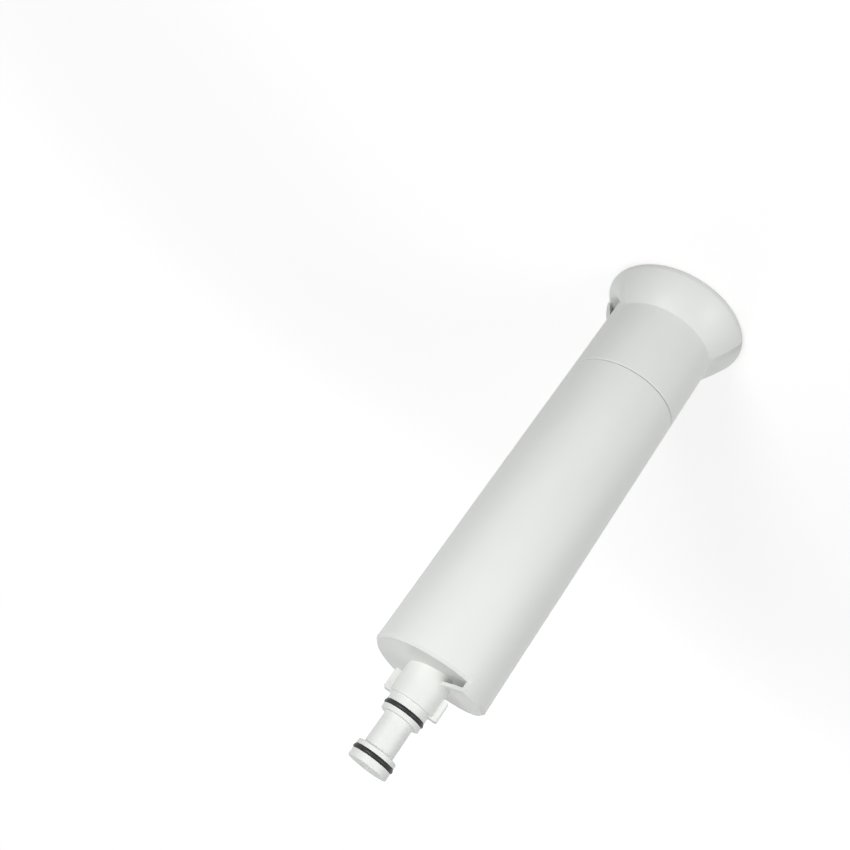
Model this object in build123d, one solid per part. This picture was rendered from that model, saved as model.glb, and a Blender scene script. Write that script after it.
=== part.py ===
from build123d import *
import os

# Water purifier filter cartridge, standing on its flared cap with the nozzle up.
# Millimetres, Z is the axis of the cartridge, Z = 0 is the flat top of the cap.

# Driving sizes
overall_length = 250.0
body_radius = 26.0
wall = 2.6
nozzle_length = 40.0
cap_length = 54.8
flare_height = 17.6
rim_radius = 34.5
rim_band = 2.8
clearance = 0.1

# Heights along the axis that follow from the driving sizes
body_end = overall_length - nozzle_length
bore_radius = body_radius - wall
seam_gap = 0.4

# Joint between cap and housing: a tongue on the cap sits in a rebate of the housing
tongue_length = 8.0
tongue_radius = bore_radius + wall / 2
tongue_end = cap_length + tongue_length

# Cap
plate = 2.6
dish_depth = 0.8
dish_radius = body_radius - 3.5
dish_slope = 1.5
rim_rounding = 1.2
crease_rounding = 1.0
flare_bulge = 1.0

# Finger scoops in the flare, half a turn apart: the floor's heights at the wall, at neck and rim,
# and how far past the flare's surface the ramp runs, so that it ends in a clean edge
scoop_angles = (-152.5, 27.5)
scoop_arc = 64.0
scoop_neck = 3.0
scoop_rim = 0.8
scoop_over = 1.07
scoop_sections = 6
flare_shell = 1.1
pocket_arc = 32.0

# Nozzle end of the housing
end_bevel = 1.2
inside_rounding = 2.0
cam_depth = 4.0
cam_angles = (-120.0, 60.0)
cam_arc = 174.0
cam_sections = 12
lip_height = 1.5
lip_arc = 30.0
end_inside = body_end - cam_depth - wall
collar_radius = 10.0
collar_length = 11.5
lug_root = collar_radius - 3.0
lug_reach = 2.4
lug_width = 4.6
lug_start = 3.0
lug_length = 8.8
lug_angles = (-170.0, 10.0)

# Sealing lands and neck of the nozzle
ring_section = 1.8
ring_outside = 9.05
land_radius = 8.7
neck_radius = 6.5
groove_width = ring_section + 2 * clearance
groove_radius = ring_outside - ring_section - clearance / 2
ring_two_height = 15.7
ring_tip_height = 35.9
lip_thickness = 2.0
edge_rounding = 0.4

# Water ways
outlet_radius = 2.2
socket_radius = 3.8
socket_depth = 11.0
inlet_inner = 4.4
inlet_outer = 5.6
inlet_arc = 80.0
port_width = 4.0
port_height = 3.2
port_angle = 10.0

# Filter element
core_radius = 6.2
core_sleeve = 0.8
fleece = 1.2
element_foot = 3.0
element_gap = 1.9
end_cap_plate = 2.4
end_cap_wall = 1.1
end_cap_radius = bore_radius - element_gap
wrap_radius = end_cap_radius - end_cap_wall
carbon_radius = wrap_radius - fleece
end_cap_depth = 5.0
spigot_radius = socket_radius - 0.2
spigot_bore = 2.0
spigot_play = 0.6
seal_section = 1.2
foot_count = 4


def turned(corners):
    """Solid turned about Z from corners given as (radius, height, rounding)."""
    outline = make_face(Polyline(*[(r, z) for r, z, _ in corners], close=True))
    return revolve(Plane.XZ * rounded(outline, corners), axis=Axis.Z)


def rounded(outline, corners):
    """Outline with the corners rounded that ask for it."""
    for size in sorted({k for _, _, k in corners if k > 0}):
        places = [(r, z) for r, z, k in corners if k == size]
        chosen = [v for v in outline.vertices() if any(abs(v.X - r) + abs(v.Y - z) < 1e-6 for r, z in places)]
        outline = fillet(chosen, size)
    return outline


def tube(outer, inner, bottom, top):
    """Plain hollow cylinder between two heights."""
    return turned([(inner, bottom, 0), (outer, bottom, 0), (outer, top, 0), (inner, top, 0)])


def drum(radius, bottom, top):
    """Plain cylinder between two heights."""
    return Pos(0, 0, (bottom + top) / 2) * Cylinder(radius, top - bottom)


def o_ring(outside, section, height):
    """Ring of round section, centred at a height."""
    return Pos(0, 0, height) * Torus(outside - section / 2, section / 2)


def flare_side(rim_height, neck_height, bulge):
    """Side of the flare from rim to neck, whose middle stands out from a straight line by a bulge."""
    middle = ((rim_radius + body_radius) / 2 + 2 * bulge, (rim_height + neck_height) / 2)
    return Bezier((rim_radius, rim_height), middle, (body_radius, neck_height))


def scoop(angle):
    """What a finger scoop takes out of the flare: a ramp that sinks from the flare down to a wall."""
    top = flare_height + 6
    inner = body_radius - 1
    outer = rim_radius + 2
    sections = []
    for step in range(scoop_sections + 1):
        part = step / scoop_sections
        rise = scoop_over * part**2 * (3 - 2 * part)
        rim = scoop_rim + (rim_band - scoop_rim) * rise
        neck = scoop_neck + (flare_height - scoop_neck) * rise
        above = Polyline(
            (body_radius, neck), (inner, neck), (inner, top), (outer, top), (outer, rim), (rim_radius, rim)
        )
        side = make_face([*flare_side(rim, neck, flare_bulge * rise).edges(), *above.edges()])
        sections.append(Rot(0, 0, angle - scoop_arc * part) * (Plane.XZ * side))
    return loft(sections) - drum(body_radius, -1, top + 1)


def pocket(angle):
    """Hollow that runs on from a scoop under the shell of the flare."""
    far = rim_radius - flare_shell
    fall = (scoop_neck - scoop_rim) / (rim_radius - body_radius)
    side = make_face(Polyline(
        (body_radius, scoop_neck),
        (far, scoop_rim + fall * flare_shell),
        (far, rim_band),
        (body_radius, flare_height - 2 * flare_shell),
        close=True,
    ))
    return Rot(0, 0, angle) * revolve(Plane.XZ * side, axis=Axis.Z, revolution_arc=pocket_arc)


def make_cap():
    """Closed cup with a flared rim to turn the cartridge by, two finger scoops in the flare."""
    corners = [
        (body_radius, flare_height, crease_rounding),
        (body_radius, cap_length - seam_gap, edge_rounding),
        (tongue_radius - clearance, cap_length - seam_gap, 0),
        (tongue_radius - clearance, tongue_end, edge_rounding),
        (bore_radius, tongue_end, 0),
        (bore_radius, dish_depth + plate, crease_rounding),
        (0, dish_depth + plate, 0),
        (0, dish_depth, 0),
        (dish_radius, dish_depth, 0),
        (dish_radius + dish_slope, 0, 0),
        (rim_radius, 0, rim_rounding),
        (rim_radius, rim_band, edge_rounding),
    ]
    straight = Polyline(*[(r, z) for r, z, _ in corners])
    flare = flare_side(rim_band, flare_height, flare_bulge)
    outline = rounded(make_face([*straight.edges(), *flare.edges()]), corners)
    cap = revolve(Plane.XZ * outline, axis=Axis.Z)
    for angle in scoop_angles:
        cap = cap - scoop(angle) - pocket(angle)
    return cap


def cam_ramp(angle):
    """What a cam ramp takes off the housing's end: deepest at the step, flush half a turn on."""
    top = body_end + 2
    inner = collar_radius / 2
    outer = body_radius + 2
    sections = []
    for step in range(cam_sections + 1):
        part = step / (cam_sections - 1)
        floor = body_end - cam_depth * (1 - part)
        side = make_face(Polyline((inner, floor), (outer, floor), (outer, top), (inner, top), close=True))
        sections.append(Rot(0, 0, angle + cam_arc * part) * (Plane.XZ * side))
    return loft(sections)


def lip_hollow(angle):
    """Hollow that runs on from the foot of a cam ramp, under the lip at the start of the next ramp."""
    low = body_end - cam_depth
    high = body_end - lip_height
    inner = collar_radius / 2
    outer = bore_radius
    side = make_face(Polyline((inner, low), (outer, low), (outer, high), (inner, high), close=True))
    return Rot(0, 0, angle - lip_arc) * revolve(Plane.XZ * side, axis=Axis.Z, revolution_arc=lip_arc)


def end_edges(body):
    """Edges round the housing's end, where the ramps meet its outside."""
    middles = [(edge, edge @ 0.5) for edge in body.edges() if edge.geom_type != GeomType.LINE]
    high = [(edge, m) for edge, m in middles if m.Z > end_inside]
    return [edge for edge, m in high if abs((m.X**2 + m.Y**2) ** 0.5 - body_radius) < clearance]


def nozzle_profile():
    """Outside of the nozzle from collar to tip, as corners of a turned solid."""
    low = end_inside + wall / 2
    collar_end = body_end + collar_length
    two_start = body_end + ring_two_height - groove_width / 2
    two_stop = two_start + groove_width
    tip_start = body_end + ring_tip_height - groove_width / 2
    tip_stop = tip_start + groove_width
    return [
        (0, low, 0),
        (collar_radius, low, 0),
        (collar_radius, collar_end, edge_rounding),
        (land_radius, collar_end, 0),
        (land_radius, two_start, 0),
        (groove_radius, two_start, 0),
        (groove_radius, two_stop, 0),
        (land_radius, two_stop, 0),
        (land_radius, two_stop + lip_thickness, edge_rounding),
        (neck_radius, two_stop + lip_thickness, 0),
        (neck_radius, tip_start - lip_thickness, 0),
        (land_radius, tip_start - lip_thickness, edge_rounding),
        (land_radius, tip_start, 0),
        (groove_radius, tip_start, 0),
        (groove_radius, tip_stop, 0),
        (land_radius, tip_stop, 0),
        (land_radius, overall_length, edge_rounding),
        (0, overall_length, 0),
    ]


def lug(angle):
    """Bayonet lug on the side of the collar, its outer edges broken."""
    reach = collar_radius + lug_reach
    middle = (lug_root + reach) / 2
    height = body_end + lug_start + lug_length / 2
    block = Pos(middle, 0, height) * Box(reach - lug_root, lug_width, lug_length)
    outer = block.faces().sort_by(Axis.X)[-1]
    return Rot(0, 0, angle) * chamfer(outer.edges(), edge_rounding)


def make_housing():
    """Long cup with the nozzle at its closed end: cam ramps, collar with lugs and sealing lands."""
    body = turned([
        (tongue_radius, cap_length, 0),
        (body_radius, cap_length, edge_rounding),
        (body_radius, body_end, 0),
        (0, body_end, 0),
        (0, end_inside, 0),
        (bore_radius, end_inside, inside_rounding),
        (bore_radius, tongue_end, 0),
        (tongue_radius, tongue_end, 0),
    ])
    for angle in cam_angles:
        body = body - cam_ramp(angle) - lip_hollow(angle)
    body = chamfer(end_edges(body), end_bevel) + turned(nozzle_profile())
    for angle in lug_angles:
        body = body + lug(angle)
    return body - outlet_way() - inlet_way()


def outlet_way():
    """Socket for the element's spigot and the bore from it to the nozzle tip."""
    socket_end = end_inside + socket_depth
    return turned([
        (0, end_inside - 1, 0),
        (socket_radius, end_inside - 1, 0),
        (socket_radius, socket_end, 0),
        (outlet_radius, socket_end, 0),
        (outlet_radius, overall_length - edge_rounding, 0),
        (outlet_radius + 2 * edge_rounding, overall_length + edge_rounding, 0),
        (0, overall_length + edge_rounding, 0),
    ])


def inlet_way():
    """Side port in the neck and the curved duct that leads from it into the housing."""
    low = end_inside - 1
    top = body_end + ring_two_height + groove_width / 2 + lip_thickness + 1.0 + port_height
    side = make_face(Polyline(
        (inlet_inner, low), (inlet_outer, low), (inlet_outer, top), (inlet_inner, top), close=True
    ))
    duct = revolve(Plane.XZ * side, axis=Axis.Z, revolution_arc=inlet_arc)
    depth = neck_radius + 1 - inlet_inner
    port = Pos(inlet_inner + depth / 2, 0, top - port_height / 2) * Box(depth, port_width, port_height)
    return Rot(0, 0, port_angle - inlet_arc / 2) * duct + Rot(0, 0, port_angle) * port


# Heights of the filter element, which stands on the floor of the cap
element_floor = dish_depth + plate
closed_plate_low = element_floor + element_foot
carbon_low = closed_plate_low + end_cap_plate
open_plate_top = end_inside - 2.0
carbon_high = open_plate_top - end_cap_plate


def make_closed_end_cap():
    """Plate that closes the lower end of the element, on feet that let the water past."""
    plate_and_wall = turned([
        (0, closed_plate_low, 0),
        (end_cap_radius, closed_plate_low, edge_rounding),
        (end_cap_radius, carbon_low + end_cap_depth, 0),
        (wrap_radius, carbon_low + end_cap_depth, 0),
        (wrap_radius, carbon_low, 0),
        (0, carbon_low, 0),
    ])
    length = end_cap_radius - core_radius
    for foot in range(foot_count):
        rib = Pos(core_radius + length / 2 - 1, 0, element_floor + element_foot / 2) * Box(
            length - 2, 2.0, element_foot
        )
        plate_and_wall = plate_and_wall + Rot(0, 0, 360 / foot_count * foot) * rib
    return plate_and_wall


def make_open_end_cap():
    """Plate over the upper end of the element with a spigot that plugs into the housing."""
    tip = end_inside + socket_depth - spigot_play
    seal = spigot_seal_height()
    floor = socket_radius - seal_section - clearance
    return turned([
        (spigot_bore, carbon_high, 0),
        (wrap_radius, carbon_high, 0),
        (wrap_radius, carbon_high - end_cap_depth, 0),
        (end_cap_radius, carbon_high - end_cap_depth, 0),
        (end_cap_radius, open_plate_top, edge_rounding),
        (spigot_radius, open_plate_top, edge_rounding),
        (spigot_radius, seal - seal_section / 2 - clearance, 0),
        (floor, seal - seal_section / 2 - clearance, 0),
        (floor, seal + seal_section / 2 + clearance, 0),
        (spigot_radius, seal + seal_section / 2 + clearance, 0),
        (spigot_radius, tip, edge_rounding),
        (spigot_bore, tip, 0),
    ])


def spigot_seal_height():
    """Height of the small seal on the spigot."""
    return end_inside + socket_depth * 0.6


parts = {
    "housing": make_housing(),
    "flared_cap": make_cap(),
    "tip_seal": o_ring(ring_outside, ring_section, body_end + ring_tip_height),
    "collar_seal": o_ring(ring_outside, ring_section, body_end + ring_two_height),
    "carbon_block": tube(carbon_radius, core_radius, carbon_low, carbon_high),
    "outer_fleece": tube(wrap_radius, carbon_radius, carbon_low, carbon_high),
    "core_fleece": tube(core_radius, core_radius - core_sleeve, carbon_low, carbon_high),
    "closed_end_cap": make_closed_end_cap(),
    "open_end_cap": make_open_end_cap(),
    "spigot_seal": o_ring(socket_radius - clearance / 2, seal_section, spigot_seal_height()),
}

os.makedirs("parts", exist_ok=True)
for name, solid in parts.items():
    solid.label = name
    export_step(solid, os.path.join("parts", name + ".step"))
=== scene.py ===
import bpy
from mathutils import Matrix, Vector

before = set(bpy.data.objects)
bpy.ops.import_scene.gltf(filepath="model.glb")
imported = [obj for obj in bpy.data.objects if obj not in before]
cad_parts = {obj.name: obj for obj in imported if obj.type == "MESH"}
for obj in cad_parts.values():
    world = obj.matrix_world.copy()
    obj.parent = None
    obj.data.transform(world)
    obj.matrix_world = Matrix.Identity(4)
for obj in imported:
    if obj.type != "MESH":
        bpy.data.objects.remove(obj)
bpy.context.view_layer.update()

# Camera, in metres in the cartridge's frame, found by fitting the outline in the photograph
picture_size = 850
focal_pixels = 960
camera_place = Vector((0.0162, -0.3811, 0.2900))
camera_forward = Vector((0.1115, 0.9087, -0.4023))
camera_upward = Vector((0.5762, -0.3889, -0.7189))
sensor_width = 36.0
camera_near = 0.01

# Lamps, all aimed at the cartridge's axis: place and aim in metres, width in metres, power in watts.
# The key shines from the left of the picture, the side lamp from its right, the back lamp from behind.
key_place = (0.21, -0.30, 0.32)
key_aim = (0, 0, 0.18)
key_width = 0.16
key_power = 0.84
side_place = (-0.66, -0.80, 0.26)
side_aim = (0, 0, 0.04)
side_width = 0.5
side_power = 4.0
back_place = (-0.03, 0.85, 0.36)
back_aim = (0, 0, 0.12)
back_width = 0.5
back_power = 2.6

# Even light from the room, and what the floor adds near the cartridge where it is seen directly
world_strength = 0.395
floor_glow = 0.64
full_white = 1.0

# Floor, in metres: its half width, its gap under the cartridge, and where it fades to white
floor_reach = 8.0
floor_gap = 0.0002
fade_start = 0.2
fade_end = 1.2

# Range of a noise's values that is spread over a whole colour or number range
noise_low = 0.3
noise_high = 0.7

# Colours, linear
white_plain = (0.80, 0.815, 0.79)
white_shade = (0.76, 0.775, 0.75)
black_plain = (0.012, 0.012, 0.013)
black_worn = (0.022, 0.022, 0.024)
carbon_dark = (0.008, 0.008, 0.009)
carbon_light = (0.03, 0.03, 0.032)
fleece_light = (0.80, 0.80, 0.77)
fleece_dark = (0.66, 0.66, 0.63)
floor_colour = (0.45, 0.45, 0.45)


def new_material(name):
    """Empty material with its node tree, shader and coordinates."""
    material = bpy.data.materials.new(name)
    material.use_nodes = True
    tree = material.node_tree
    shader = tree.nodes["Principled BSDF"]
    places = tree.nodes.new("ShaderNodeTexCoord")
    return material, tree, shader, places


def noise(tree, places, scale, detail, stretch=(1, 1, 1)):
    """Noise in the object's own metres, stretched along the axes."""
    mapping = tree.nodes.new("ShaderNodeMapping")
    mapping.inputs["Scale"].default_value = stretch
    texture = tree.nodes.new("ShaderNodeTexNoise")
    texture.inputs["Scale"].default_value = scale
    texture.inputs["Detail"].default_value = detail
    tree.links.new(places.outputs["Object"], mapping.inputs["Vector"])
    tree.links.new(mapping.outputs["Vector"], texture.inputs["Vector"])
    return texture.outputs["Fac"]


def colour_between(tree, factor, low, high, target):
    """Colour that goes from low to high with a factor."""
    ramp = tree.nodes.new("ShaderNodeValToRGB")
    ramp.color_ramp.elements[0].position = noise_low
    ramp.color_ramp.elements[1].position = noise_high
    ramp.color_ramp.elements[0].color = (*low, 1)
    ramp.color_ramp.elements[1].color = (*high, 1)
    tree.links.new(factor, ramp.inputs["Fac"])
    tree.links.new(ramp.outputs["Color"], target)


def number_between(tree, factor, low, high, target):
    """Number that goes from low to high with a factor."""
    span = tree.nodes.new("ShaderNodeMapRange")
    span.inputs["From Min"].default_value = noise_low
    span.inputs["From Max"].default_value = noise_high
    span.inputs["To Min"].default_value = low
    span.inputs["To Max"].default_value = high
    tree.links.new(factor, span.inputs["Value"])
    tree.links.new(span.outputs["Result"], target)


def bumps(tree, shader, height, strength, depth):
    """Fine relief from a height."""
    bump = tree.nodes.new("ShaderNodeBump")
    bump.inputs["Strength"].default_value = strength
    bump.inputs["Distance"].default_value = depth
    tree.links.new(height, bump.inputs["Height"])
    tree.links.new(bump.outputs["Normal"], shader.inputs["Normal"])


def moulded_plastic(name, plain, shade, rough_low, rough_high):
    """White moulded plastic: faint flow marks along the body and a fine spark texture."""
    material, tree, shader, places = new_material(name)
    flow = noise(tree, places, scale=38, detail=3, stretch=(1, 1, 0.25))
    grain = noise(tree, places, scale=2600, detail=2)
    colour_between(tree, flow, shade, plain, shader.inputs["Base Color"])
    number_between(tree, flow, rough_low, rough_high, shader.inputs["Roughness"])
    bumps(tree, shader, grain, strength=0.05, depth=0.00004)
    shader.inputs["Specular IOR Level"].default_value = 0.3
    return material


def seal_rubber(name):
    """Black rubber with a soft sheen and a fine bloom."""
    material, tree, shader, places = new_material(name)
    bloom = noise(tree, places, scale=420, detail=5)
    grain = noise(tree, places, scale=5200, detail=2)
    colour_between(tree, bloom, black_plain, black_worn, shader.inputs["Base Color"])
    number_between(tree, bloom, 0.32, 0.46, shader.inputs["Roughness"])
    bumps(tree, shader, grain, strength=0.12, depth=0.00003)
    shader.inputs["Specular IOR Level"].default_value = 0.35
    return material


def bonded_carbon(name):
    """Black block of bonded grains."""
    material, tree, shader, places = new_material(name)
    grains = noise(tree, places, scale=1400, detail=6)
    colour_between(tree, grains, carbon_dark, carbon_light, shader.inputs["Base Color"])
    bumps(tree, shader, grains, strength=0.5, depth=0.0003)
    shader.inputs["Roughness"].default_value = 0.9
    return material


def felted_fleece(name):
    """White felted fibre."""
    material, tree, shader, places = new_material(name)
    fibres = noise(tree, places, scale=900, detail=8, stretch=(1, 1, 0.2))
    colour_between(tree, fibres, fleece_dark, fleece_light, shader.inputs["Base Color"])
    bumps(tree, shader, fibres, strength=0.5, depth=0.0003)
    shader.inputs["Roughness"].default_value = 0.95
    return material


def paint(nodes, material):
    """Puts one material on CAD nodes."""
    for node in nodes:
        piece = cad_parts[node]
        piece.data.materials.clear()
        piece.data.materials.append(material)


def make_floor():
    """Wide pale floor under the cartridge."""
    sides = ((-1, -1), (1, -1), (1, 1), (-1, 1))
    corners = [(x * floor_reach, y * floor_reach, -floor_gap) for x, y in sides]
    mesh = bpy.data.meshes.new("floor")
    mesh.from_pydata(corners, [], [(0, 1, 2, 3)])
    mesh.materials.append(floor_material())
    floor = bpy.data.objects.new("floor", mesh)
    bpy.context.scene.collection.objects.link(floor)


def seen_directly(tree):
    """One for what the camera sees straight, in a gloss or through glass, and nothing for scattered light."""
    path = tree.nodes.new("ShaderNodeLightPath")
    total = path.outputs["Is Camera Ray"]
    for kind in ("Is Glossy Ray", "Is Transmission Ray"):
        either = tree.nodes.new("ShaderNodeMath")
        either.operation = "MAXIMUM"
        tree.links.new(total, either.inputs[0])
        tree.links.new(path.outputs[kind], either.inputs[1])
        total = either.outputs["Value"]
    return total


def floor_material():
    """Matt pale floor that keeps shadows, and turns to the white of the room further out."""
    material, tree, shader, places = new_material("floor")
    tree.nodes.remove(shader)
    matt = tree.nodes.new("ShaderNodeBsdfDiffuse")
    matt.inputs["Color"].default_value = (*floor_colour, 1)
    glow = tree.nodes.new("ShaderNodeEmission")
    distance = tree.nodes.new("ShaderNodeVectorMath")
    distance.operation = "LENGTH"
    fade = tree.nodes.new("ShaderNodeMapRange")
    fade.interpolation_type = "SMOOTHSTEP"
    fade.inputs["From Min"].default_value = fade_start
    fade.inputs["From Max"].default_value = fade_end
    fade.inputs["To Min"].default_value = floor_glow
    fade.inputs["To Max"].default_value = full_white
    level = tree.nodes.new("ShaderNodeMath")
    level.operation = "MULTIPLY"
    total = tree.nodes.new("ShaderNodeAddShader")
    tree.links.new(places.outputs["Object"], distance.inputs[0])
    tree.links.new(distance.outputs["Value"], fade.inputs["Value"])
    tree.links.new(seen_directly(tree), level.inputs[0])
    tree.links.new(fade.outputs["Result"], level.inputs[1])
    tree.links.new(level.outputs["Value"], glow.inputs["Strength"])
    tree.links.new(matt.outputs["BSDF"], total.inputs[0])
    tree.links.new(glow.outputs["Emission"], total.inputs[1])
    tree.links.new(total.outputs["Shader"], tree.nodes["Material Output"].inputs["Surface"])
    return material


def make_world():
    """Even light from all round, white where it is seen directly."""
    world = bpy.data.worlds.new("studio")
    world.use_nodes = True
    bpy.context.scene.world = world
    tree = world.node_tree
    background = tree.nodes["Background"]
    background.inputs["Color"].default_value = (1, 1, 1, 1)
    level = tree.nodes.new("ShaderNodeMapRange")
    level.inputs["To Min"].default_value = world_strength
    level.inputs["To Max"].default_value = full_white
    tree.links.new(seen_directly(tree), level.inputs["Value"])
    tree.links.new(level.outputs["Result"], background.inputs["Strength"])


def area_light(name, place, target, width, power, shine=True):
    """Soft square lamp that faces a target, with or without a gleam of its own."""
    lamp = bpy.data.lights.new(name, "AREA")
    lamp.shape = "SQUARE"
    lamp.size = width
    lamp.energy = power
    holder = bpy.data.objects.new(name, lamp)
    holder.location = place
    holder.rotation_euler = (Vector(target) - Vector(place)).to_track_quat("-Z", "Y").to_euler()
    holder.visible_camera = False
    holder.visible_glossy = shine
    bpy.context.scene.collection.objects.link(holder)


def make_camera():
    """Camera that sees the cartridge as the photograph does, with the nozzle at the lower left."""
    data = bpy.data.cameras.new("camera")
    data.sensor_width = sensor_width
    data.lens = focal_pixels / picture_size * sensor_width
    data.clip_start = camera_near
    camera = bpy.data.objects.new("camera", data)
    back = -camera_forward.normalized()
    right = camera_upward.cross(back).normalized()
    upward = back.cross(right)
    turn = Matrix((right, upward, back)).transposed()
    camera.matrix_world = Matrix.Translation(camera_place) @ turn.to_4x4()
    bpy.context.scene.collection.objects.link(camera)
    bpy.context.scene.camera = camera


satin = moulded_plastic("white_plastic", white_plain, white_shade, rough_low=0.34, rough_high=0.44)
matt = moulded_plastic("inner_plastic", white_shade, white_plain, rough_low=0.5, rough_high=0.6)
paint(("housing", "flared_cap"), satin)
paint(("closed_end_cap", "open_end_cap"), matt)
paint(("tip_seal", "collar_seal", "spigot_seal"), seal_rubber("seal_rubber"))
paint(("carbon_block",), bonded_carbon("carbon"))
paint(("outer_fleece", "core_fleece"), felted_fleece("fleece"))

make_floor()
make_world()
area_light("key", key_place, key_aim, key_width, key_power)
area_light("side", side_place, side_aim, side_width, side_power)
area_light("back", back_place, back_aim, back_width, back_power, shine=False)
make_camera()
bpy.context.scene.view_settings.view_transform = "Standard"
